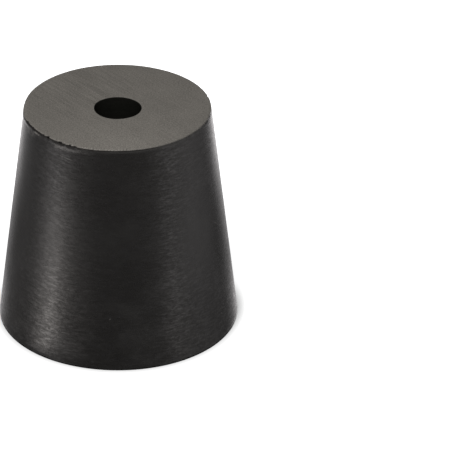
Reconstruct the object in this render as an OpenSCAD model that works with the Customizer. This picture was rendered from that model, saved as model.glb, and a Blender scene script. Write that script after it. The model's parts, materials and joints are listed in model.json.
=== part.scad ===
// Rubber stopper for a flask neck or a test tube.
//
// One moulding of solid black rubber: a round plug that tapers from its wide
// end to its narrow end, with a straight hole along the axis for a glass tube
// or a thermometer. Both ends are flat. The wide end keeps a narrow straight
// band where it was trimmed from the moulding sheet, and its size number is
// sunk into the face.
//
// The plug stands on its wide end. The origin is the centre of that end, and
// +Z runs along the hole towards the narrow end. All sizes are in millimetres.

/* [Plug] */
// Diameter of the wide end
wide_d = 26; // [22:0.5:60]
// Diameter of the narrow end
narrow_d = 20; // [8:0.5:26]
// Length from end to end
plug_l = 25; // [15:0.5:80]
// Height of the straight trimmed band at the wide end
band_h = 0.5; // [0.1:0.1:5]

/* [Hole] */
// Diameter of the hole
bore_d = 5; // [2:0.1:8]

/* [Size number] */
// Height of the figure
figure_h = 4; // [2:0.1:5]
// Depth that the figure is sunk into the wide end
figure_depth = 0.3; // [0.1:0.05:1]
// Width of the figure's upright stroke
upright_w = 0.8; // [0.4:0.05:1]
// Width of the figure's bar and slanting stroke
bar_w = 0.4; // [0.2:0.05:0.6]
// Distance from the hole's wall to the middle of the figure
figure_gap = 4.6; // [3.5:0.1:6]

/* [Hidden] */
$fn = 96;

wide_r = wide_d / 2;
narrow_r = narrow_d / 2;
bore_r = bore_d / 2;

// The figure's bar crosses the upright at this height, and reaches this far to each side of it
bar_y = 0.3 * figure_h;
bar_left = 0.62 * figure_h;
bar_right = 0.32 * figure_h;
// The bar runs this far past the foot of the slanting stroke
bar_end = bar_w;
// Cutters stand this far out of the face they cut
proud = 0.1;

// Half of the plug's section, from the hole's wall outwards
module plug_section() {
    polygon([
        [bore_r, 0],
        [wide_r, 0],
        [wide_r, band_h],
        [narrow_r, plug_l],
        [bore_r, plug_l],
    ]);
}

// Straight stroke of one width between two points
module stroke(start, end, width) {
    run = end - start;
    translate((start + end) / 2)
        rotate(atan2(run[1], run[0]))
            square([norm(run), width], center = true);
}

// Plain figure 4, centred on the origin and upright along +Y
module figure_4() {
    translate([(bar_left - bar_right) / 2, -figure_h / 2]) {
        stroke([0, 0], [0, figure_h], upright_w);
        stroke([-bar_left, bar_y], [bar_right, bar_y], bar_w);
        stroke([bar_end - bar_left, bar_y], [0, figure_h - bar_w / 2], bar_w);
    }
}

// The figure as a cutter, turned over so that it reads from below
module size_number() {
    translate([-bore_r - figure_gap, 0, 0])
        rotate([180, 0, 0])
            translate([0, 0, -figure_depth])
                linear_extrude(figure_depth + proud)
                    figure_4();
}

module stopper() {
    color([0.17, 0.16, 0.16])
        difference() {
            rotate_extrude()
                plug_section();
            size_number();
        }
}

stopper();
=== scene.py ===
"""Looks of a black rubber laboratory stopper, laid out as a Blender add-on.

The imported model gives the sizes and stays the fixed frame. One operator turns
the plug as a detailed mesh with its rubber finishes, and one sets the stage.
Lengths are metres in the frame's own axes: +Z runs up the hole, and the plug
stands on its wide end.
"""

import json
import math

import bpy
from bpy.props import FloatProperty, FloatVectorProperty, IntProperty, PointerProperty
from mathutils import Matrix, Vector


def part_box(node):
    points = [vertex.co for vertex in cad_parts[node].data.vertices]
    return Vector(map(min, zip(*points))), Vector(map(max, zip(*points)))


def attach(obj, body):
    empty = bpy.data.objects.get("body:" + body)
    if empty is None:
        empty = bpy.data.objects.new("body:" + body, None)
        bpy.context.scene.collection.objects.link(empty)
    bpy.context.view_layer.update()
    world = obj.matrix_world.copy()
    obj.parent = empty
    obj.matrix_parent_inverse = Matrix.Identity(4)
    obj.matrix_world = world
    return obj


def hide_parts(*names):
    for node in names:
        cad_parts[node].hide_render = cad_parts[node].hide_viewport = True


bl_info = {
    "name": "Rubber Stopper",
    "version": (1, 0, 0),
    "blender": (4, 5, 0),
    "location": "3D View > Sidebar > Stopper",
    "description": "Turns a one-hole rubber stopper and sets it on a white table",
    "category": "Object",
}

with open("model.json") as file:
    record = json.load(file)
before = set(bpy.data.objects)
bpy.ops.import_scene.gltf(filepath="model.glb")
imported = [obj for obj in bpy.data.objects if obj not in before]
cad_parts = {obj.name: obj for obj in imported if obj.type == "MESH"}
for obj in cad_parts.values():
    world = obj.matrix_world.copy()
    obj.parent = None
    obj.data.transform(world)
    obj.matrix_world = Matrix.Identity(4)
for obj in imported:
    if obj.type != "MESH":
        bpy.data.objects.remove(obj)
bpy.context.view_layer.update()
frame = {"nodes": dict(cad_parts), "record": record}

MM = 0.001
BELL = 2.718  # base of the bell curves
TOUCH = 0.01 * MM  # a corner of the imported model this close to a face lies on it
NEAR = 0.8 * MM  # how far an edge's wear and finer mesh reach in from it
SKIN = 1.2 * MM  # depth over which the side's waves die out
INSET = 0.006 * MM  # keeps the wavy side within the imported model's box
NODE = "stopper"
BODY = "root"

ZONES = ("side", "hole", "narrow_end", "wide_end")  # stretches of the surface, one finish each
HELPERS = ("rounding", "rows", "zone")  # what the tree notes on the mesh while it works

NICKS = (  # worn bites in the narrow rim: degrees round from the front, width and depth in millimetres
    (-71, 0.5, 0.11), (-68.5, 0.2, 0.06), (-63, 0.3, 0.10), (-55, 0.2, 0.05), (-51.5, 0.3, 0.12),
    (-47.5, 0.5, 0.19), (-37.5, 0.6, 0.17), (-34, 0.2, 0.05), (-30.5, 0.4, 0.17), (-27, 0.7, 0.14),
    (-17, 0.2, 0.06), (9, 0.2, 0.05), (46, 0.3, 0.05), (104, 0.4, 0.05),
)

LIPS = (  # stretches of the narrow rim that are rolled outwards: degrees round, half width, millimetres out
    (-79, 11, 0.17), (-50, 20, 0.05), (-23, 15, 0.10),
)

SCRATCHES = (  # marks on the side: start angle and height, end angle and height, half width, paleness
    (-41, 23.6, -26, 23.3, 0.06, 0.18), (-42, 24.4, -33, 24.35, 0.38, 0.18),
    (-73, 24.0, -58, 24.5, 0.55, 0.18), (-62, 24.6, -53, 24.75, 0.22, 0.75),
    (62, 14.0, 71, 12.6, 0.06, 0.18), (120, 18.0, 133, 17.1, 0.08, 0.18), (-150, 9.0, -137, 9.9, 0.07, 0.18),
)

SPOTS = {  # places on the plug's plan: x and y in millimetres, spread in square millimetres
    # painted shadow under the rolled narrow rim, in the next two places
    "shadow under rim": (-5.5, -8.3, 60),
    "shadow under left lip": (-9.7, -2.6, 9),
    # painted glints along the front rim, among its burrs
    "burred and glinting rim": (-1, -10, 30),
    # painted shade on the rounded rim at the right front
    "shaded right rim": (7, -7, 60),
    # painted highlight on the front of the narrow end
    "painted_highlight": (0, -9, 36),
    "deeper lines": (-4, 4, 40),
}

POLISHED = ((-66, 16), (51, 16))  # stretches of the side rubbed smooth: degrees round, half width

STAINS = ((-0.4, -5.5), (1.2, 4.7))  # faint dark stains on the wide end, in millimetres

FANS = (  # light fanned over the table: foot and heading in degrees off the front, spread, share, reach in mm
    (-41.0, -68.3, 0.32, 0.88, 57),
    (-40.0, -69.5, 0.12, 0.22, 57),
    (-24.0, -48.0, 0.40, 0.14, 57),
    (-56.0, -112.0, 0.40, 0.035, 40),
    (28.0, 58.0, 0.30, 0.12, 66),
)

LAYERS = {  # each noise: cells to a millimetre along x, y and z, detail, roughness, seed
    "side wave": (0.16, 0.16, 0.22, 2.0, 0.45, 0),
    "hole wave": (0.3, 0.3, 0.12, 1.0, 0.5, 7),
    "ragged rim": (1.6, 1.6, 1.6, 3.0, 0.6, 3),
    "nick shape": (2.2, 2.2, 1.0, 3.0, 0.7, 11),
    "nick depth": (4.0, 4.0, 1.0, 1.0, 0.5, 13),
    "ground face": (0.35, 0.35, 0.35, 1.0, 0.5, 9),
    "rings": (0.8, 0.8, 3.8, 2.0, 0.7, 1),
    "fine rings": (1.3, 1.3, 6.0, 1.0, 0.7, 2),
    "side grain": (2.8, 2.8, 3.4, 2.0, 0.75, 3),
    "patches": (0.16, 0.16, 0.22, 3.0, 0.55, 4),
    "side cloud": (0.8, 0.8, 1.6, 3.0, 0.6, 5),
    "torn edge": (1.3, 1.3, 1.3, 3.0, 0.65, 8),
    "sway": (0.12, 0.12, 0.12, 1.0, 0.5, 9),
    "foot grain": (6.0, 6.0, 7.0, 1.0, 0.6, 10),
    "bands": (0.55, 0.55, 0.05, 1.0, 0.5, 12),
    "grinding lines": (0.16, 3.2, 1.0, 2.0, 0.65, 0),
    "end grain": (6.0, 6.0, 6.0, 2.0, 0.8, 1),
    "end cloud": (0.35, 0.35, 0.35, 3.0, 0.6, 2),
    "line strength": (0.10, 0.16, 0.1, 1.0, 0.5, 4),
    "hole rings": (0.8, 0.8, 3.0, 2.0, 0.6, 21),
    "hole grain": (4.0, 4.0, 4.0, 2.0, 0.6, 22),
}

LOW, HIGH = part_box(NODE)
BORE = next(m for m in frame["record"]["mounts"] if m["name"] == "bore")


def widest(points):
    """Largest distance of the points from the plug's axis."""
    return max(math.hypot(p.x, p.y) for p in points)


POINTS = [v.co for v in frame["nodes"][NODE].data.vertices]
WIDE_R = widest(POINTS)
FOOT = WIDE_R / MM  # the foot's radius in millimetres, as the stage is measured
NARROW_R = widest(p for p in POINTS if p.z > HIGH.z - TOUCH)
BAND_TOP = max(p.z for p in POINTS if math.hypot(p.x, p.y) > WIDE_R - TOUCH)


# ---------------------------------------------------------------- properties


class StopperShape(bpy.types.PropertyGroup):
    """Sizes of the plug."""

    wide_d: FloatProperty(
        name="Wide Diameter", description="Diameter of the wide end",
        default=2 * WIDE_R, unit="LENGTH", precision=5)
    narrow_d: FloatProperty(
        name="Narrow Diameter", description="Diameter of the narrow end",
        default=2 * NARROW_R, unit="LENGTH", precision=5)
    length: FloatProperty(
        name="Length", description="Length from end to end",
        default=HIGH.z - LOW.z, unit="LENGTH", precision=5)
    band_h: FloatProperty(
        name="Band Height", description="Height of the straight trimmed band at the wide end",
        default=BAND_TOP - LOW.z, unit="LENGTH", precision=5)
    hole_d: FloatProperty(
        name="Hole Diameter", description="Diameter of the hole along the axis",
        default=2 * BORE["dims"]["r_mm"] * MM, unit="LENGTH", precision=5)
    edge: FloatProperty(
        name="Edge Rounding", description="Radius left on the ground edges",
        default=0.05 * MM, unit="LENGTH", precision=6)
    mouth: FloatProperty(
        name="Mouth Rounding", description="Radius worn on the hole's mouth in the narrow end",
        default=0.06 * MM, unit="LENGTH", precision=6)
    waviness: FloatProperty(
        name="Waviness", description="How far the moulded side strays from a true cone",
        default=0.02 * MM, unit="LENGTH", precision=6)
    wander: FloatProperty(
        name="Hole Wander", description="How far the drill ran off the middle at the narrow end",
        default=0.3 * MM, unit="LENGTH", precision=5)
    rim_wear: FloatProperty(
        name="Rim Wear", description="Share of the full depth that the nicks in the narrow rim have",
        default=1.0, subtype="FACTOR", min=0, max=1)
    columns: IntProperty(
        name="Columns", description="Mesh columns round the plug", default=480, min=48)
    seed: IntProperty(
        name="Seed", description="Chooses where the waves and nicks fall", default=4)
    figure_h: FloatProperty(
        name="Figure Height", description="Height of the size number on the wide end",
        default=4 * MM, unit="LENGTH", precision=5)
    figure_depth: FloatProperty(
        name="Figure Depth", description="Depth that the number is sunk",
        default=0.3 * MM, unit="LENGTH", precision=5)
    upright_w: FloatProperty(
        name="Upright Width", description="Width of the number's upright stroke",
        default=0.8 * MM, unit="LENGTH", precision=5)
    bar_w: FloatProperty(
        name="Bar Width", description="Width of the number's bar and slanting stroke",
        default=0.4 * MM, unit="LENGTH", precision=5)
    figure_gap: FloatProperty(
        name="Figure Gap", description="From the hole's wall to the middle of the number",
        default=4.6 * MM, unit="LENGTH", precision=5)


class StopperFinish(bpy.types.PropertyGroup):
    """Colours and gloss of the rubber."""

    side: FloatVectorProperty(
        name="Side", description="Colour of the moulded side",
        default=(0.0133, 0.0123, 0.0117), subtype="COLOR", min=0, max=1)
    bloom: FloatVectorProperty(
        name="Bloom", description="Colour of the grey bloom rubbed into the side",
        default=(0.034, 0.0325, 0.031), subtype="COLOR", min=0, max=1)
    ground: FloatVectorProperty(
        name="Ground End", description="Colour of the ground ends",
        default=(0.1145, 0.1065, 0.0950), subtype="COLOR", min=0, max=1)
    # painted shade: the hole's wall and the sunk number are darker than the side's rubber, as the shade
    # inside them
    hole: FloatVectorProperty(
        name="Hole", description="Colour of the hole's wall and of the sunk number",
        default=(0.0065, 0.0064, 0.0054), subtype="COLOR", min=0, max=1)
    dust: FloatVectorProperty(
        name="Dust", description="Colour of stray specks",
        default=(0.30, 0.28, 0.26), subtype="COLOR", min=0, max=1)
    gloss: FloatProperty(
        name="Side Roughness", description="Mean roughness of the moulded side",
        default=0.34, subtype="FACTOR", min=0, max=1)


class StopperStage(bpy.types.PropertyGroup):
    """Camera, lamps and surroundings."""

    distance: FloatProperty(
        name="Camera Distance", description="From the camera to the middle of the plug",
        default=0.42, unit="LENGTH", precision=4)
    elevation: FloatProperty(
        name="Camera Elevation", description="Height of the camera above the horizon",
        default=math.radians(28.955), subtype="ANGLE")
    roll: FloatProperty(
        name="Camera Roll", description="Turn of the camera about its line of sight",
        default=math.radians(0.676), subtype="ANGLE")
    lens: FloatProperty(
        name="Lens", description="Focal length in millimetres", default=297.12, unit="CAMERA")
    aim_right: FloatProperty(
        name="Aim Right", description="The camera aims this far to the right of the plug",
        default=12.63 * MM, unit="LENGTH", precision=5)
    aim_up: FloatProperty(
        name="Aim Up", description="The camera aims this far above the plug's middle",
        default=-2.845 * MM, unit="LENGTH", precision=5)
    key_power: FloatProperty(
        name="Overhead Lamp", description="Power of the soft lamp overhead",
        default=0.297, unit="POWER")
    fill: FloatProperty(
        name="Fill", description="Plain light from all round", default=0.25)
    left_card: FloatProperty(
        name="Left Card", description="Brightness of the white card on the left, as the sheen shows it",
        default=0.58)
    right_card: FloatProperty(
        name="Right Card", description="Brightness of the pale card on the right, as the sheen shows it",
        default=0.26)
    room: FloatProperty(
        name="Room", description="Brightness of the room beside the table, as the sheen shows it",
        default=0.16)
    front: FloatProperty(
        name="Front", description="Brightness of the dark side that the camera stands on",
        default=0.05)
    backdrop: FloatProperty(
        name="Backdrop", description="Brightness of the backdrop behind the plug, as the sheen shows it",
        default=1.1)
    table_glow: FloatProperty(
        name="Table Glow", description="Brightness of the lit table beside the foot, as the sheen shows it",
        default=1.72)


# ------------------------------------------------------------- node helpers


class Wire:
    """An output socket of a node tree. Arithmetic on wires adds Math nodes."""

    def __init__(self, tree, socket=None):
        self.tree = tree
        self.socket = socket

    def node(self, kind, settings=None, sockets=None, out=0):
        """Adds a node: its settings first, then the values or links of its sockets.

        The setting items is the number of values that an index switch chooses from.
        """
        node = self.tree.nodes.new(kind)
        for name, value in (settings or {}).items():
            if name == "items":
                for _ in range(value - len(node.index_switch_items)):
                    node.index_switch_items.new()
            else:
                setattr(node, name, value)
        for key, value in (sockets or {}).items():
            target = pick(node.inputs, key)
            if isinstance(value, Wire):
                self.tree.links.new(value.socket, target)
            else:
                target.default_value = value
        if isinstance(out, tuple):
            return tuple(Wire(self.tree, pick(node.outputs, key)) for key in out)
        return Wire(self.tree, pick(node.outputs, out))

    def math(self, operation, *values):
        """A Math node on this value, followed by the others."""
        return self.node("ShaderNodeMath", {"operation": operation}, dict(enumerate((self, *values))))

    def after(self, operation, first):
        """A Math node on another value, followed by this one."""
        return self.node("ShaderNodeMath", {"operation": operation}, {0: first, 1: self})

    def __add__(self, other):
        return self.math("ADD", other)

    def __sub__(self, other):
        return self.math("SUBTRACT", other)

    def __rsub__(self, other):
        return self.after("SUBTRACT", other)

    def __mul__(self, other):
        return self.math("MULTIPLY", other)

    def __truediv__(self, other):
        return self.math("DIVIDE", other)

    def __pow__(self, other):
        return self.math("POWER", other)

    def __rpow__(self, other):
        return self.after("POWER", other)

    def __neg__(self):
        return self.math("MULTIPLY", -1.0)

    def __gt__(self, other):
        return self.math("GREATER_THAN", other)

    def __lt__(self, other):
        return self.math("LESS_THAN", other)

    __radd__ = __add__
    __rmul__ = __mul__

    def absolute(self):
        return self.math("ABSOLUTE")

    def at_least(self, other):
        return self.math("MAXIMUM", other)

    def at_most(self, other):
        return self.math("MINIMUM", other)

    def step(self, low, high):
        """Rises smoothly from 0 at low to 1 at high."""
        settings = {"interpolation_type": "SMOOTHSTEP", "clamp": True}
        return self.node("ShaderNodeMapRange", settings, {"Value": self, "From Min": low, "From Max": high})

    def hump(self, middle, width):
        """1 at the middle, falling off like a bell curve of that width."""
        return BELL ** -((self - middle) / width) ** 2

    def split(self):
        """X, Y and Z of a vector."""
        return self.node("ShaderNodeSeparateXYZ", None, {0: self}, out=("X", "Y", "Z"))

    def times(self, factor):
        """The vector, all of it stretched by one factor."""
        return self.node("ShaderNodeVectorMath", {"operation": "SCALE"}, {0: self, "Scale": factor})

    def scaled(self, x, y, z):
        """The vector stretched by a factor along each axis."""
        return self.node("ShaderNodeVectorMath", {"operation": "MULTIPLY"}, {0: self, 1: (x, y, z)})

    def noise(self, layer, seed=0):
        """Smooth noise of about 0 to 1 over this vector, as a row of LAYERS says."""
        x, y, z, detail, roughness, own_seed = LAYERS[layer]
        sockets = {"Vector": self.scaled(x, y, z), "W": own_seed + seed, "Scale": 1.0,
                   "Detail": detail, "Roughness": roughness}
        return self.node("ShaderNodeTexNoise", {"noise_dimensions": "4D"}, sockets, out="Fac")

    def mix(self, low, high):
        """The colour that lies this far from low to high."""
        settings = {"data_type": "RGBA", "clamp_factor": True}
        return self.node("ShaderNodeMix", settings, {"Factor": self, "A": low, "B": high}, out="Result")


def off_axis(x, y):
    """Distance from the plug's axis."""
    return (x * x + y * y) ** 0.5


def degrees_round(x, y):
    """Degrees round from the front, towards +X."""
    return x.math("ARCTAN2", -y) * math.degrees(1)


def pick(sockets, key):
    """A socket by its place, or the first one in use that has that name."""
    if isinstance(key, int):
        return sockets[key]
    return next(s for s in sockets if s.name == key and s.enabled)


# ----------------------------------------------------------- the plug's mesh


def cone_radius(z, wide_r, narrow_r, band_h, length):
    """Radius of the tapered side at a height."""
    return wide_r + (narrow_r - wide_r) * ((z - band_h) / (length - band_h))


def noted(b, name, data_type):
    """What the tree has noted on the mesh under a name."""
    return b.node("GeometryNodeInputNamedAttribute", {"data_type": data_type}, {"Name": name},
                  out="Attribute")


def marked(b, geometry, zone):
    """Notes the number of their zone on the faces."""
    return b.node("GeometryNodeStoreNamedAttribute", {"data_type": "INT", "domain": "FACE"},
                  {"Geometry": geometry, "Name": "zone", "Value": zone})


def outline_corners(s):
    """Corners of half the plug's section: radius, height, rounding, rows up to the next corner."""
    low_side = s["Band Height"] + NEAR
    top_side = s["Length"] - NEAR
    taper = (s["wide_r"], s["narrow_r"], s["Band Height"], s["Length"])
    edge = s["Edge Rounding"]
    return (
        (s["hole_r"], 0.0, edge, 4),
        (s["hole_r"] + NEAR, 0.0, 0.0, 17),
        (s["wide_r"] - NEAR, 0.0, 0.0, 6),
        (s["wide_r"], 0.0, edge, 4),
        (s["wide_r"], s["Band Height"], edge, 5),
        (cone_radius(low_side, *taper), low_side, 0.0, 56),
        (cone_radius(top_side, *taper), top_side, 0.0, 21),
        (s["narrow_r"], s["Length"], edge, 9),
        (s["narrow_r"] - NEAR, s["Length"], 0.0, 12),
        (s["hole_r"] + NEAR, s["Length"], 0.0, 7),
        (s["hole_r"], s["Length"], s["Mouth Rounding"], 5),
        (s["hole_r"], top_side, 0.0, 12),
        (s["hole_r"], NEAR, 0.0, 4),
    )


def section_curve(b, s):
    """Closed outline of half the plug: radius along X, from the hole's wall, and height along -Y."""
    corners = outline_corners(s)
    index = b.node("GeometryNodeInputIndex")

    def by_index(data_type, values):
        settings = {"data_type": data_type, "items": len(corners)}
        return b.node("GeometryNodeIndexSwitch", settings, {0: index, **dict(enumerate(values, start=1))})

    places = [b.node("ShaderNodeCombineXYZ", None, {"X": radius - s["hole_r"], "Y": -height})
              for radius, height, _, _ in corners]
    roundings = [rounding for _, _, rounding, _ in corners]
    rows = [count for _, _, _, count in corners]
    line = b.node("GeometryNodeMeshLine", None, {"Count": len(corners)})
    line = b.node("GeometryNodeSetPosition", None,
                  {"Geometry": line, "Position": by_index("VECTOR", places)})
    for name, data_type, values in (("rounding", "FLOAT", roundings), ("rows", "INT", rows)):
        line = b.node("GeometryNodeStoreNamedAttribute", {"data_type": data_type, "domain": "POINT"},
                      {"Geometry": line, "Name": name, "Value": by_index(data_type, values)})
    curve = b.node("GeometryNodeMeshToCurve", None, {0: line})
    curve = b.node("GeometryNodeSetSplineCyclic", None, {"Geometry": curve, "Cyclic": True})
    steps = 4  # in a rounded edge
    curve = b.node("GeometryNodeFilletCurve", {"mode": "POLY"},
                   {"Curve": curve, "Count": steps, "Radius": noted(b, "rounding", "FLOAT"),
                    "Limit Radius": True})
    return divided(b, curve)


def divided(b, curve):
    """Divides the outline's straight stretches into rows. A rounded edge's steps are far shorter."""
    position = b.node("GeometryNodeInputPosition")
    following = b.node("GeometryNodeOffsetPointInCurve", None, {"Offset": 1}, out="Point Index")
    ahead = b.node("GeometryNodeFieldAtIndex", {"data_type": "FLOAT_VECTOR", "domain": "POINT"},
                   {"Index": following, "Value": position})
    stretch = b.node("ShaderNodeVectorMath", {"operation": "DISTANCE"}, {0: position, 1: ahead}, out="Value")
    straight = stretch > 0.1 * MM
    cuts = (noted(b, "rows", "INT") - 1) * straight
    return b.node("GeometryNodeSubdivideCurve", None, {"Curve": curve, "Cuts": cuts})


def figure_cutter(b, s):
    """The figure 4 as three crossing blocks, half sunk in the wide end."""
    height = s["Figure Height"]
    bar_y = 0.3 * height  # the bar's own height, then its reach to either side of the upright
    bar_left = 0.62 * height
    bar_right = 0.32 * height
    shift = (bar_left - bar_right) / 2 - s["hole_r"] - s["Figure Gap"]
    slant_top = height - s["Bar Width"] / 2
    strokes = (  # start x, y; end x, y; width
        (0.0, 0.0, 0.0, height, s["Upright Width"]),
        (-bar_left, bar_y, bar_right, bar_y, s["Bar Width"]),
        (s["Bar Width"] - bar_left, bar_y, 0.0, slant_top, s["Bar Width"]),
    )
    tall = 2 * s["Figure Depth"]
    blocks = []
    for x0, y0, x1, y1, width in strokes:
        run_x, run_y = x1 - x0, y0 - y1  # y is turned over, so that the figure reads from below
        length = (run_x ** 2 + run_y ** 2) ** 0.5
        size = b.node("ShaderNodeCombineXYZ", None, {"X": length, "Y": width, "Z": tall})
        middle = b.node("ShaderNodeCombineXYZ", None,
                        {"X": (x0 + x1) / 2 + shift, "Y": (height - y0 - y1) / 2, "Z": 0.0})
        turn = b.node("ShaderNodeCombineXYZ", None, {"Z": run_y.math("ARCTAN2", run_x)})
        block = b.node("GeometryNodeMeshCube", None, {"Size": size}, out="Mesh")
        blocks.append(b.node("GeometryNodeTransform", None,
                             {"Geometry": block, "Translation": middle, "Rotation": turn}))
    return blocks


def named_inputs(tree):
    """Gives the tree its named sizes and returns them as wires, with the three radii."""
    def add(name, kind):
        return tree.interface.new_socket(name=name, in_out="INPUT", socket_type=kind)

    lengths = ("Wide Diameter", "Narrow Diameter", "Length", "Band Height", "Hole Diameter",
               "Edge Rounding", "Mouth Rounding", "Waviness", "Figure Height", "Figure Depth",
               "Upright Width", "Bar Width", "Figure Gap", "Hole Wander")
    for name in lengths:
        add(name, "NodeSocketFloat").subtype = "DISTANCE"
    add("Rim Wear", "NodeSocketFloat")
    for name in ("Columns", "Seed"):
        add(name, "NodeSocketInt")
    given = tree.nodes.new("NodeGroupInput")
    s = {name: Wire(tree, given.outputs[name]) for name in (*lengths, "Rim Wear", "Columns", "Seed")}
    s["wide_r"] = s["Wide Diameter"] / 2
    s["narrow_r"] = s["Narrow Diameter"] / 2
    s["hole_r"] = s["Hole Diameter"] / 2
    return s


def turned(b, s):
    """The plug as it is turned: the outline of half of it, swept once round the hole."""
    round_path = b.node("GeometryNodeCurvePrimitiveCircle", {"mode": "RADIUS"},
                        {"Resolution": s["Columns"], "Radius": s["hole_r"]}, out="Curve")
    round_path = b.node("GeometryNodeSetCurveNormal", {"mode": "Z_UP"}, {"Curve": round_path})
    body = b.node("GeometryNodeCurveToMesh", None,
                  {"Curve": round_path, "Profile Curve": section_curve(b, s)})
    return b.node("GeometryNodeFlipFaces", None, {"Mesh": body})  # the sweep leaves the faces inwards


def zone_number(b, s):
    """Number of the zone that a face of the turned plug lies in."""
    x, y, z = b.node("GeometryNodeInputPosition").split()
    _, _, up = b.node("GeometryNodeInputNormal").split()
    level = up.absolute()  # 1 on a level face, 0 on an upright one
    flat = 0.7
    quite_flat = 0.98
    in_hole = (off_axis(x, y) < s["hole_r"] + 1.2 * s["Mouth Rounding"]) * (level < quite_flat)
    upper = z > s["Length"] / 2
    end_zone = ZONES.index("narrow_end") * upper + ZONES.index("wide_end") * (1 - upper)
    return ZONES.index("hole") * in_hole + (level > flat) * (1 - in_hole) * end_zone


def numbered(b, s, body):
    """Sinks the size number in the wide end."""
    cut = b.tree.nodes.new("GeometryNodeMeshBoolean")
    cut.operation = "DIFFERENCE"
    cut.solver = "MANIFOLD"
    b.tree.links.new(body.socket, cut.inputs["Mesh 1"])
    for stroke in figure_cutter(b, s):
        # the sunk strokes take the hole's finish, painted dark as the shade inside them
        b.tree.links.new(marked(b, stroke, ZONES.index("hole")).socket, cut.inputs["Mesh 2"])
    # faces left with more than four corners have some on one line, which would make slivers later
    corners = b.node("GeometryNodeInputMeshFaceNeighbors", None, None, out="Vertex Count")
    return b.node("GeometryNodeTriangulate", {"ngon_method": "BEAUTY"},
                  {"Mesh": Wire(b.tree, cut.outputs["Mesh"]), "Selection": corners > 4.5})


def creased(b, body, angle):
    """Shades the plug smooth, and sharp at edges that turn more than an angle in degrees."""
    body = b.node("GeometryNodeSetShadeSmooth", {"domain": "FACE"}, {0: body, "Shade Smooth": True})
    crease = b.node("GeometryNodeInputMeshEdgeAngle", None, None, out="Unsigned Angle")
    return b.node("GeometryNodeSetShadeSmooth", {"domain": "EDGE"},
                  {0: body, "Selection": crease > math.radians(angle), "Shade Smooth": False})


def stopper_tree(materials):
    """Geometry Nodes tree that turns the whole plug from its named sizes."""
    tree = bpy.data.node_groups.new("turned_stopper", "GeometryNodeTree")
    tree.interface.new_socket(name="Geometry", in_out="OUTPUT", socket_type="NodeSocketGeometry")
    s = named_inputs(tree)
    b = Wire(tree)
    body = marked(b, turned(b, s), zone_number(b, s))
    body = creased(b, numbered(b, s, weathered(b, s, body)), angle=50)
    body = b.node("GeometryNodeRealizeInstances", None, {0: body})
    zone = noted(b, "zone", "INT")
    for number, name in enumerate(ZONES):  # a later zone takes its faces over from the earlier ones
        body = b.node("GeometryNodeSetMaterial", None,
                      {"Geometry": body, "Material": materials[name], "Selection": zone > number - 0.5})
    end = tree.nodes.new("NodeGroupOutput")
    tree.links.new(body.socket, end.inputs[0])
    return tree


def nick_depth(s, position, ragged):
    """Depth in millimetres that the narrow rim is bitten away."""
    x, y, _ = position.split()
    azimuth = degrees_round(x, y)
    on_rim = position.scaled(1 / MM, 1 / MM, 0.0).times(s["narrow_r"] / off_axis(x, y))
    jitter = (on_rim.noise("nick shape", s["Seed"]) - 0.5) * 0.45
    uneven = 0.45 + on_rim.noise("nick depth", s["Seed"])
    arc = s["narrow_r"] / MM * math.radians(1)  # millimetres to a degree of the rim
    bite = ragged.step(0.45, 0.75) * 0.012  # fine fraying between the nicks
    for angle, width, depth in NICKS:
        off = ((azimuth - angle) * arc + jitter).absolute()
        bite = bite.at_least((1 - off.step(0.15 * width, 0.7 * width)) * depth)
    return bite * uneven


def weathered(b, s, body):
    """Moves the turned surface: a wavy side, an uneven hole, and a nicked narrow rim."""
    position = b.node("GeometryNodeInputPosition")
    x, y, z = position.split()
    radius = off_axis(x, y)
    azimuth = degrees_round(x, y)
    per_mm = position.scaled(1 / MM, 1 / MM, 1 / MM)
    side_r = cone_radius(z, s["wide_r"], s["narrow_r"], s["Band Height"], s["Length"])
    below_rim = s["Length"] - z
    outside = radius.step(side_r - SKIN, side_r)
    inside = 1 - radius.step(s["hole_r"], s["hole_r"] + NEAR)

    wave = per_mm.noise("side wave", s["Seed"]) - 0.5
    hole_wave = per_mm.noise("hole wave", s["Seed"]) - 0.5
    mouth = 1 - below_rim.step(0.0, 2.0 * MM)
    outward = (wave * s["Waviness"] * 2 - INSET) * outside + hole_wave * inside * (0.14 + 0.08 * mouth) * MM

    # a shallow groove under the narrow rim, nicks in the rim itself, and stretches of it rolled outwards
    ragged = per_mm.noise("ragged rim", s["Seed"])
    groove = below_rim.hump(0.12 * MM, 0.08 * MM) * outside * ragged.step(0.3, 0.6) * 0.07 * MM
    at_rim = (1 - below_rim.step(0.0, 0.45 * MM)) * radius.step(side_r - NEAR, side_r)
    bite = nick_depth(s, position, ragged) * at_rim * s["Rim Wear"] * MM
    lip = sum(azimuth.hump(angle, width) * out for angle, width, out in LIPS)
    lip = lip * (0.6 + 0.8 * ragged) * (1 - below_rim.step(0.05 * MM, 0.8 * MM)) * outside * MM
    radial = outward + lip - groove - bite

    # the hole runs off towards the front near the narrow end, which was ground a little uneven
    wander = inside * (1 - below_rim.step(0.0, 8 * MM)) * s["Hole Wander"]
    sink = bite * radius.step(side_r - 0.3 * MM, side_r) * -0.45
    ground = per_mm.noise("ground face", s["Seed"]) * (1 - below_rim.step(0.0, 1.0 * MM)) * 0.012 * MM
    move = b.node("ShaderNodeCombineXYZ", None,
                  {"X": radial * x / radius, "Y": radial * y / radius - wander, "Z": sink - ground})
    return b.node("GeometryNodeSetPosition", None, {"Geometry": body, "Offset": move})


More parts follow.
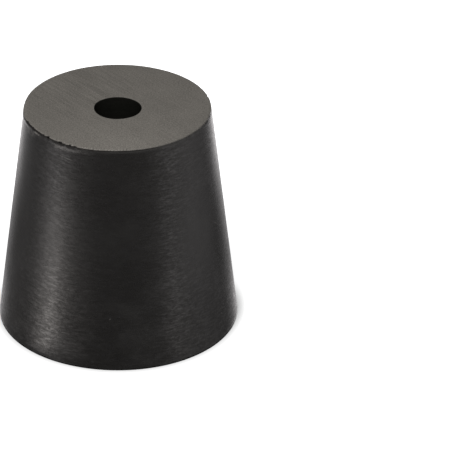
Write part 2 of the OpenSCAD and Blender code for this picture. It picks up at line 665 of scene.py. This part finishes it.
def plain_mesh(tree, name, values):
    """Runs a geometry tree once and returns its result as a plain mesh object."""
    piece = bpy.data.objects.new(name, bpy.data.meshes.new(name))
    bpy.context.scene.collection.objects.link(piece)
    modifier = piece.modifiers.new("turned", "NODES")
    modifier.node_group = tree
    for item in tree.interface.items_tree:
        if item.in_out == "INPUT":
            modifier[item.identifier] = values[item.name]
    depsgraph = bpy.context.evaluated_depsgraph_get()
    mesh = bpy.data.meshes.new_from_object(piece.evaluated_get(depsgraph), depsgraph=depsgraph)
    piece.modifiers.remove(modifier)
    for helper in HELPERS:
        if helper in mesh.attributes:
            mesh.attributes.remove(mesh.attributes[helper])
    while None in mesh.materials[:]:  # an empty slot that the cutting leaves
        mesh.materials.pop(index=mesh.materials[:].index(None))
    mesh.name = name
    piece.data = mesh
    return piece


# ---------------------------------------------------------------- materials


class Finish:
    """A material under way: its tree, its surface shader and its place in millimetres."""

    def __init__(self, name, **constants):
        self.material = bpy.data.materials.new(name)
        self.material.use_nodes = True
        self.tree = self.material.node_tree
        self.surface = self.tree.nodes["Principled BSDF"]
        for socket, value in constants.items():
            self.surface.inputs[socket.replace("_", " ")].default_value = value
        wire = Wire(self.tree)
        place = wire.node("ShaderNodeTexCoord", None, None, out="Object")
        self.mm = wire.node("ShaderNodeMapping", None, {"Vector": place, "Scale": (1 / MM,) * 3})
        self.x, self.y, self.z = self.mm.split()
        self.radius = off_axis(self.x, self.y)
        self.azimuth = degrees_round(self.x, self.y)

    def spot(self, name):
        """1 over one of SPOTS, falling off like a bell curve."""
        x, y, spread = SPOTS[name]
        return BELL ** -(((self.x - x) ** 2 + (self.y - y) ** 2) / spread)

    def turned(self, angle):
        """The place in millimetres, turned about the axis by an angle in degrees."""
        wire = Wire(self.tree)
        return wire.node("ShaderNodeMapping", None,
                         {"Vector": self.mm, "Rotation": (0.0, 0.0, math.radians(angle))})

    def specks(self, spacing, size, share, seed):
        """Mask of stray round specks: one cell in a spacing holds one if it is in the share."""
        cells = self.mm.scaled(1 / spacing, 1 / spacing, 1 / spacing)
        distance, colour = cells.node(
            "ShaderNodeTexVoronoi", {"voronoi_dimensions": "4D"},
            {"Vector": cells, "W": seed, "Scale": 1.0}, out=("Distance", "Color"))
        chance, pale, _ = colour.split()
        speck = 1 - distance.step(0.3 * size / spacing, size / spacing)
        return speck * (chance < share) * (pale * 0.6 + 0.4)

    def swayed(self, reach):
        """The place in millimetres, swaying along the axis by up to half that reach either way."""
        sway = self.mm.noise("sway")
        shift = sway.node("ShaderNodeCombineXYZ", None, {"Z": (0.5 - sway) * reach})
        return self.mm.node("ShaderNodeVectorMath", {"operation": "ADD"}, {0: self.mm, 1: shift})

    def scratch(self, start, start_z, end, end_z, width, paleness):
        """Mask of a straight mark on the side between two points: degrees from the front and height."""
        reach = cone_radius(start_z * MM, WIDE_R, NARROW_R, BAND_TOP, HIGH.z) / MM * math.radians(1)
        run, rise = (end - start) * reach, end_z - start_z
        long = math.hypot(run, rise)
        out, up = (self.azimuth - start) * math.radians(1) * self.radius, self.z - start_z
        along = (out * run + up * rise) / long
        across = ((up * run - out * rise) / long).absolute()
        ends = along.step(0.0, 0.25 * long) * (1 - along.step(0.7 * long, long))
        return (1 - across.step(0.3 * width, width)) * ends * paleness

    def torn(self, share, colour):
        """Lets a dark, rough rubber take over from the surface by a share: bare torn rubber, and painted
        shade where callers lay it over bands that light does not reach.
        """
        links = self.tree.links
        rough = share.node("ShaderNodeBsdfPrincipled", None,
                           {"Base Color": colour, "Roughness": 0.7, "Specular IOR Level": 0.12})
        mixed = share.node("ShaderNodeMixShader", None,
                           {0: share, 1: Wire(self.tree, self.surface.outputs[0]), 2: rough})
        links.new(mixed.socket, self.tree.nodes["Material Output"].inputs["Surface"])

    def link(self, socket, value):
        """Feeds a varying value to a socket of the surface."""
        self.tree.links.new(value.socket, self.surface.inputs[socket])

    def finish(self, colour, roughness, relief, depth):
        """Links colour, roughness and a relief of that depth in metres to the surface."""
        bump = relief.node("ShaderNodeBump", None, {"Strength": 1.0, "Distance": depth, "Height": relief})
        self.link("Base Color", colour)
        self.link("Roughness", roughness)
        self.link("Normal", bump)
        return self.material


def rgba(colour, factor=1.0):
    """A colour property as four numbers, with its brightness scaled."""
    return (*(c * factor for c in colour), 1.0)


def polished(f):
    """Mask of the stretches of the side that are rubbed smooth."""
    return sum(f.azimuth.hump(angle, width) for angle, width in POLISHED)


def streaked_polish(f, low, top, rings, fine_rings, grain):
    """How much clear sheen the moulded side has: streaks along the rings, calm in some stretches."""
    mean = 0.43
    streaks = (0.3 + 0.7 * rings.step(0.36, 0.64)) * (
        0.15 + fine_rings.step(0.36, 0.64) * 0.6 + grain.step(0.4, 0.62) * 0.5)
    fine_grain = f.mm.noise("foot grain") - 0.5
    bands = f.mm.noise("bands") - 0.5
    calm = 0.32 * f.z.hump(0.55 * top, 0.2 * top) + 0.48 * polished(f) + 0.25 * f.azimuth.hump(3, 12)
    calm = calm - (0.45 - 0.35 * low) * f.azimuth.hump(28, 7)
    return mean + (streaks - mean) * (0.89 - calm + 0.27 * low) + fine_grain * low * 0.5 + bands * 0.3


def torn_nicks_and_painted_shade(f, look, shape, top):
    """Lets bare torn rubber show in the narrow rim's nicks, paints a dark band of shadow under the rolled
    narrow rim, and darkens a thin band at the foot: trimmed rubber, with painted shade where it meets the
    table.
    """
    ragged = f.mm.noise("torn edge")
    worn = f.spot("shadow under rim")
    reach = (ragged - 0.36).at_least(0.0)
    # painted shadow under the rolled narrow rim: a dark band, widest at the front left and under the big lip
    # on the left
    shadow_under_left_lip = 0.2 * f.spot("shadow under left lip")
    line = reach * (worn + 0.15) + shadow_under_left_lip
    line = 1 - (top - f.z).step(line * 0.8 + 0.06, line + 0.14)
    line = line * (1.5 * worn + 0.1).at_most(1.0)
    # a thin dark band at the foot: trimmed rubber, with painted shade where it meets the table
    foot = 1 - f.z.step(0.04 + reach * 0.5, 0.10 + reach * 0.6)
    taper = (shape.wide_d - shape.narrow_d) / 2 / (shape.length - shape.band_h)
    sunk = shape.wide_d / 2 / MM - (f.z - shape.band_h / MM) * taper - f.radius
    bitten = sunk.step(0.05, 0.11) * (f.z > top - 0.8)
    nicks_and_foot_shade = bitten.at_least(foot)
    f.torn(line.at_least(nicks_and_foot_shade), nicks_and_foot_shade.mix(rgba(look.side, 1.6), rgba(look.side, 0.5)))


def moulded_side(look, shape):
    """Satin black skin with fine rings left by the mould, grey bloom and a few scratches."""
    f = Finish("moulded_side", Specular_IOR_Level=0.3, Coat_Roughness=0.22, Coat_IOR=1.6)
    top = shape.length / MM
    low = 1 - f.z.step(0.0, 0.55 * top)
    swayed = f.swayed(reach=0.8)
    rings = swayed.noise("rings")
    fine_rings = swayed.noise("fine rings")
    grain = f.mm.noise("side grain")
    patches = f.mm.noise("patches")
    cloud = f.mm.noise("side cloud")

    scuffs = sum(f.scratch(*each) for each in SCRATCHES) * grain.step(0.3, 0.62)
    bloom = (patches.step(0.42, 0.75) * 0.5 + cloud.step(0.45, 0.8) * 0.35) * (0.45 + 0.55 * low)
    rubbed = (1 - (top - f.z).step(0.1, 0.45)) * (0.5 + 0.6 * cloud)
    specks = f.specks(spacing=1.1, size=0.10, share=0.35, seed=6)
    colour = (bloom * (0.6 + 0.8 * fine_rings)).mix(rgba(look.side), rgba(look.bloom))
    colour = rubbed.mix(colour, rgba(look.bloom))
    colour = (specks * 0.45 + scuffs).mix(colour, rgba(look.dust))
    uneven = 1 - 0.5 * polished(f)
    roughness = look.gloss + uneven * ((rings - 0.5) * 0.5 + (patches - 0.5) * 0.14 + (grain - 0.5) * 0.3)
    relief = uneven * (rings * 0.5 + fine_rings * 0.6 + grain * 0.4 - 0.75)
    f.link("Coat Weight", streaked_polish(f, low, top, rings, fine_rings, grain))
    torn_nicks_and_painted_shade(f, look, shape, top)
    return f.finish(colour, roughness.at_least(0.2), relief, depth=0.035 * MM)


def ground_end(look, name, height, rim, line_angle, seed, lines_share, highlight_paint, stains=()):
    """Matt end face: even grinding lines one way, a fine grain, faint clouds and pale specks, with painted
    light: a share of painted highlight on its front, painted glints along the front rim, and painted shade
    over the rim at the right front.
    """
    f = Finish(name, Specular_IOR_Level=0.3)
    along = f.turned(line_angle)
    lines = along.noise("grinding lines", seed)
    where = 1.3 * f.spot("deeper lines") + along.noise("line strength", seed).step(0.45, 0.7) * 0.4
    grain = f.mm.noise("end grain", seed)
    cloud = f.mm.noise("end cloud", seed)
    specks = f.specks(spacing=0.45, size=0.08, share=0.22, seed=seed + 3)
    # painted highlight: the front of the end is paler, with livelier grain, as the lamp's sheen there
    painted_highlight = f.spot("painted_highlight")
    tone = 1 + (lines - 0.5) * (0.15 + where) * lines_share + (grain - 0.5) * (1.95 + 1.2 * painted_highlight)
    tone = tone + (cloud - 0.5) * 0.35 + painted_highlight * highlight_paint
    for stain_x, stain_y in stains:
        off = ((f.x - stain_x) ** 2 + (f.y - stain_y) ** 2) ** 0.5
        tone = tone - (1 - off.step(1.7, 2.6)) * (0.04 + 0.24 * cloud)
    shade = f.mm.node("ShaderNodeVectorMath", {"operation": "SCALE"}, {0: tuple(look.ground), "Scale": tone})
    # pale specks along the front of the rim: burrs, and painted glints where the edge catches the light
    front = 0.2 + f.spot("burred and glinting rim")
    burrs_and_glints = f.radius.step(rim - 0.35, rim - 0.12) * grain.step(0.46, 0.6) * front * 0.7
    colour = (specks * 0.45).at_least(burrs_and_glints).mix(shade, rgba(look.dust))
    roughness = 0.82 + (grain - 0.5) * 0.2
    relief = lines * (0.3 + where) * 0.5 + grain
    # painted shade: the face's outer edge at the right front is darkened as a more rounded edge turned from
    # the light; off the face's plane the rounded edge takes the dark rubber
    worn = f.spot("shaded right rim")
    skin = f.radius.step(rim - 0.3, rim) * worn * 0.6
    f.torn((f.z - height).absolute().step(0.03, 0.07).at_least(skin), rgba(look.side, 1.2))
    return f.finish(colour, roughness, relief, depth=0.012 * MM)


def shaded_hole_wall(look):
    """Wall of the hole and floor of the sunk number: black rubber, painted darker than the side as the shade
    inside the hole and the sunk strokes.
    """
    f = Finish("shaded_hole_wall", Specular_IOR_Level=0.15)
    rings = f.mm.noise("hole rings")
    grain = f.mm.noise("hole grain")
    colour = (rings * grain).mix(rgba(look.hole), rgba(look.hole, 2.5))
    return f.finish(colour, 0.5 + (grain - 0.5) * 0.2, rings + grain, depth=0.006 * MM)


# --------------------------------------------------------------------- stage


def surroundings(x, y, z, stage):
    """Brightness of the studio in a direction, as the rubber's sheen shows it.

    Azimuth 0 is towards the camera, and the sign follows X. It is brighter low down, by the table.
    """
    azimuth = degrees_round(x, y)
    aside = azimuth.absolute()
    beside = aside.step(10, 60)
    behind = aside.step(128, 172)
    on_the_right = x.step(0.0, 0.3)
    left_card = azimuth.hump(-74, 14)
    right_card = azimuth.step(36, 62) * (1 - azimuth.step(85, 125))
    level = stage.front + (stage.room - stage.front) * beside
    level = level + (stage.backdrop - stage.room) * behind * (1 + 0.35 * on_the_right)
    level = level + stage.left_card * left_card + stage.right_card * right_card
    return level * (1.35 - 0.8 * z.step(-0.75, 0.6))


def make_world(stage):
    """White for the camera, the studio for the sheen, and plain fill for the rest."""
    world = bpy.data.worlds.new("studio")
    bpy.context.scene.world = world
    world.use_nodes = True
    world.cycles.sampling_method = "NONE"
    tree = world.node_tree
    wire = Wire(tree)
    place = wire.node("ShaderNodeTexCoord", None, None, out="Generated")
    x, y, z = place.split()
    camera, glossy = wire.node("ShaderNodeLightPath", None, None, out=("Is Camera Ray", "Is Glossy Ray"))
    seen = surroundings(x, y, z, stage)
    level = glossy * seen + (1 - glossy) * stage.fill
    level = camera + (1 - camera) * level
    white = (1.0, 1.0, 1.0, 1.0)
    warm = (1.0, 0.97, 0.975, 1.0)
    tint = glossy.mix(white, warm)
    background = tree.nodes["Background"]
    tree.links.new(level.socket, background.inputs["Strength"])
    tree.links.new(tint.socket, background.inputs["Color"])


def square_sheet(name, half, height):
    """Flat square that faces up, and its bare material."""
    mesh = bpy.data.meshes.new(name)
    corners = [(-half, -half, height), (half, -half, height), (half, half, height), (-half, half, height)]
    mesh.from_pydata(corners, [], [(0, 1, 2, 3)])
    sheet = bpy.data.objects.new(name, mesh)
    bpy.context.scene.collection.objects.link(sheet)
    material = bpy.data.materials.new(name)
    material.use_nodes = True
    material.cycles.emission_sampling = "NONE"
    material.node_tree.nodes.remove(material.node_tree.nodes["Principled BSDF"])
    mesh.materials.append(material)
    wire = Wire(material.node_tree)
    place = wire.node("ShaderNodeTexCoord", None, None, out="Object")
    return sheet, wire, place.scaled(1 / MM, 1 / MM, 1 / MM)


def show(wire, shader):
    """Makes a shader the surface of its material."""
    output = wire.tree.nodes["Material Output"]
    wire.tree.links.new(shader.socket, output.inputs["Surface"])


def make_floor():
    """White table that keeps a soft shadow. The sheen looks through it to the surroundings."""
    table, wire, place = square_sheet("table", half=1.5, height=0.0)
    x, y, _ = place.split()
    distance = off_axis(x, y)
    camera = wire.node("ShaderNodeLightPath", None, None, out="Is Camera Ray")
    at_foot = distance.step(FOOT - 0.5, FOOT + 1.5)
    further_out = distance.step(FOOT + 1, 50)
    lift = camera * (at_foot * 0.6 + further_out * 0.4)  # takes the shadow away, from the foot outwards
    paint = wire.node("ShaderNodeBsdfDiffuse", None, {"Color": (0.8, 0.8, 0.8, 1.0)})
    glow = wire.node("ShaderNodeEmission", None, {"Strength": lift})
    show(wire, wire.node("ShaderNodeAddShader", None, {0: paint, 1: glow}))
    table.visible_glossy = False


def fan(x, y, foot, heading, spread):
    """Light that fans out over the table from a point on the plug's foot, both as angles off the front."""
    foot, heading = math.radians(foot), math.radians(heading)
    ahead_x, ahead_y = math.sin(heading), -math.cos(heading)
    out_x = x - FOOT * math.sin(foot)
    out_y = y + FOOT * math.cos(foot)
    ahead = out_x * ahead_x + out_y * ahead_y
    across = out_x * ahead_y - out_y * ahead_x
    width = ahead.at_least(0.0) * spread + 0.7
    return (across / width).hump(0.0, 1.0) * ahead.step(0.3, 5.5)


def make_table_sheen(stage):
    """What the plug's sheen shows of the table: its shade round the foot, and a lit stretch beside it."""
    sheet, wire, place = square_sheet("table_sheen", half=0.2, height=-0.0002)
    x, y, _ = place.split()
    distance = off_axis(x, y)
    lit = sum(fan(x, y, foot, heading, spread) * (1 - distance.step(reach, reach + 22)) * share
              for foot, heading, spread, share, reach in FANS)
    lit = lit * (1 - 0.3 * distance.step(20, 50))
    warm = (1.0, 0.935, 0.89, 1.0)
    glow = wire.node("ShaderNodeEmission", None, {"Color": warm, "Strength": lit * stage.table_glow})
    behind = y.step(2, 14) * (1 - distance.step(37, 50))
    round_foot = 0.55 + 0.45 * distance.step(FOOT + 1, 50)
    dim = (round_foot * (1 - 0.5 * behind)).at_least(lit)
    shade = wire.node("ShaderNodeCombineColor", None, {i: dim for i in range(3)})
    clear = wire.node("ShaderNodeBsdfTransparent", None, {"Color": shade})
    show(wire, wire.node("ShaderNodeAddShader", None, {0: clear, 1: glow}))
    sheet.visible_camera = False
    sheet.visible_diffuse = False
    sheet.visible_shadow = False
    sheet.visible_transmission = False


def area_lamp(name, place, target, size, power):
    """Square soft lamp that faces a point."""
    light = bpy.data.lights.new(name, "AREA")
    light.shape = "SQUARE"
    light.size = size
    light.energy = power
    lamp = bpy.data.objects.new(name, light)
    lamp.location = place
    lamp.visible_camera = False
    lamp.visible_glossy = False
    lamp.rotation_euler = (Vector(target) - Vector(place)).to_track_quat("-Z", "Y").to_euler()
    bpy.context.scene.collection.objects.link(lamp)


def make_camera(stage, middle):
    """Camera at the viewing angle, aimed beside the plug."""
    cam = bpy.data.cameras.new("camera")
    cam.lens = stage.lens
    cam.clip_start = 0.01
    cam.clip_end = 10.0
    camera = bpy.data.objects.new("camera", cam)
    bpy.context.scene.collection.objects.link(camera)
    tilt = stage.elevation
    back = Vector((0.0, -math.cos(tilt), math.sin(tilt)))
    right = Vector((1.0, 0.0, 0.0))
    up = back.cross(right)
    camera.location = middle + back * stage.distance
    aim = middle + right * stage.aim_right + up * stage.aim_up
    look = (aim - camera.location).to_track_quat("-Z", "Y").to_matrix()
    camera.rotation_euler = (look @ Matrix.Rotation(stage.roll, 3, "Z")).to_euler()
    bpy.context.scene.camera = camera


# ----------------------------------------------------------------- operators


class STOPPER_OT_plug(bpy.types.Operator):
    """Turn the plug from its sizes and give it its rubber finishes"""

    bl_idname = "stopper.plug"
    bl_label = "Turn the Plug"

    def execute(self, context):
        shape = context.scene.stopper_shape
        look = context.scene.stopper_finish
        materials = {
            "side": moulded_side(look, shape),
            "narrow_end": ground_end(
                look, "ground_narrow_end", height=shape.length / MM, rim=shape.narrow_d / 2 / MM,
                # the narrow end's front takes a share of painted highlight
                line_angle=52, seed=30, lines_share=0.8, highlight_paint=0.22),
            "wide_end": ground_end(
                look, "ground_wide_end", height=0.0, rim=shape.wide_d / 2 / MM,
                line_angle=4, seed=40, lines_share=0.6, highlight_paint=0.0, stains=STAINS),
            "hole": shaded_hole_wall(look),
        }
        names = type(shape).__annotations__
        values = {shape.bl_rna.properties[key].name: getattr(shape, key) for key in names}
        plug = plain_mesh(stopper_tree(materials), "rubber_stopper", values)
        if not plug.data.polygons:
            raise RuntimeError("the turned plug has no faces")
        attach(plug, BODY)
        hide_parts(NODE)
        return {"FINISHED"}


class STOPPER_OT_stage(bpy.types.Operator):
    """Set the white table, the lamps, the surroundings and the camera"""

    bl_idname = "stopper.stage"
    bl_label = "Set the Stage"

    def execute(self, context):
        stage = context.scene.stopper_stage
        middle = (LOW + HIGH) / 2
        make_world(stage)
        make_floor()
        make_table_sheen(stage)
        area_lamp("overhead", place=(-0.01, -0.085, 0.17), target=middle, size=0.10, power=stage.key_power)
        make_camera(stage, middle)
        context.scene.view_settings.view_transform = "Standard"
        return {"FINISHED"}


class STOPPER_PT_panel(bpy.types.Panel):
    """Sizes, finishes and stage of the stopper"""

    bl_label = "Rubber Stopper"
    bl_idname = "STOPPER_PT_panel"
    bl_space_type = "VIEW_3D"
    bl_region_type = "UI"
    bl_category = "Stopper"

    def draw(self, context):
        groups = (
            (context.scene.stopper_shape, None),
            (context.scene.stopper_finish, STOPPER_OT_plug),
            (context.scene.stopper_stage, STOPPER_OT_stage),
        )
        for group, operator in groups:
            box = self.layout.box()
            for key in type(group).__annotations__:
                box.prop(group, key)
            if operator:
                box.operator(operator.bl_idname)


CLASSES = (StopperShape, StopperFinish, StopperStage, STOPPER_OT_plug, STOPPER_OT_stage, STOPPER_PT_panel)
GROUPS = {"stopper_shape": StopperShape, "stopper_finish": StopperFinish, "stopper_stage": StopperStage}


def register():
    for cls in CLASSES:
        bpy.utils.register_class(cls)
    for name, group in GROUPS.items():
        setattr(bpy.types.Scene, name, PointerProperty(type=group))


def unregister():
    for name in GROUPS:
        delattr(bpy.types.Scene, name)
    for cls in reversed(CLASSES):
        bpy.utils.unregister_class(cls)


def main():
    register()
    bpy.ops.stopper.plug()
    bpy.ops.stopper.stage()


if __name__ == "__main__":
    main()
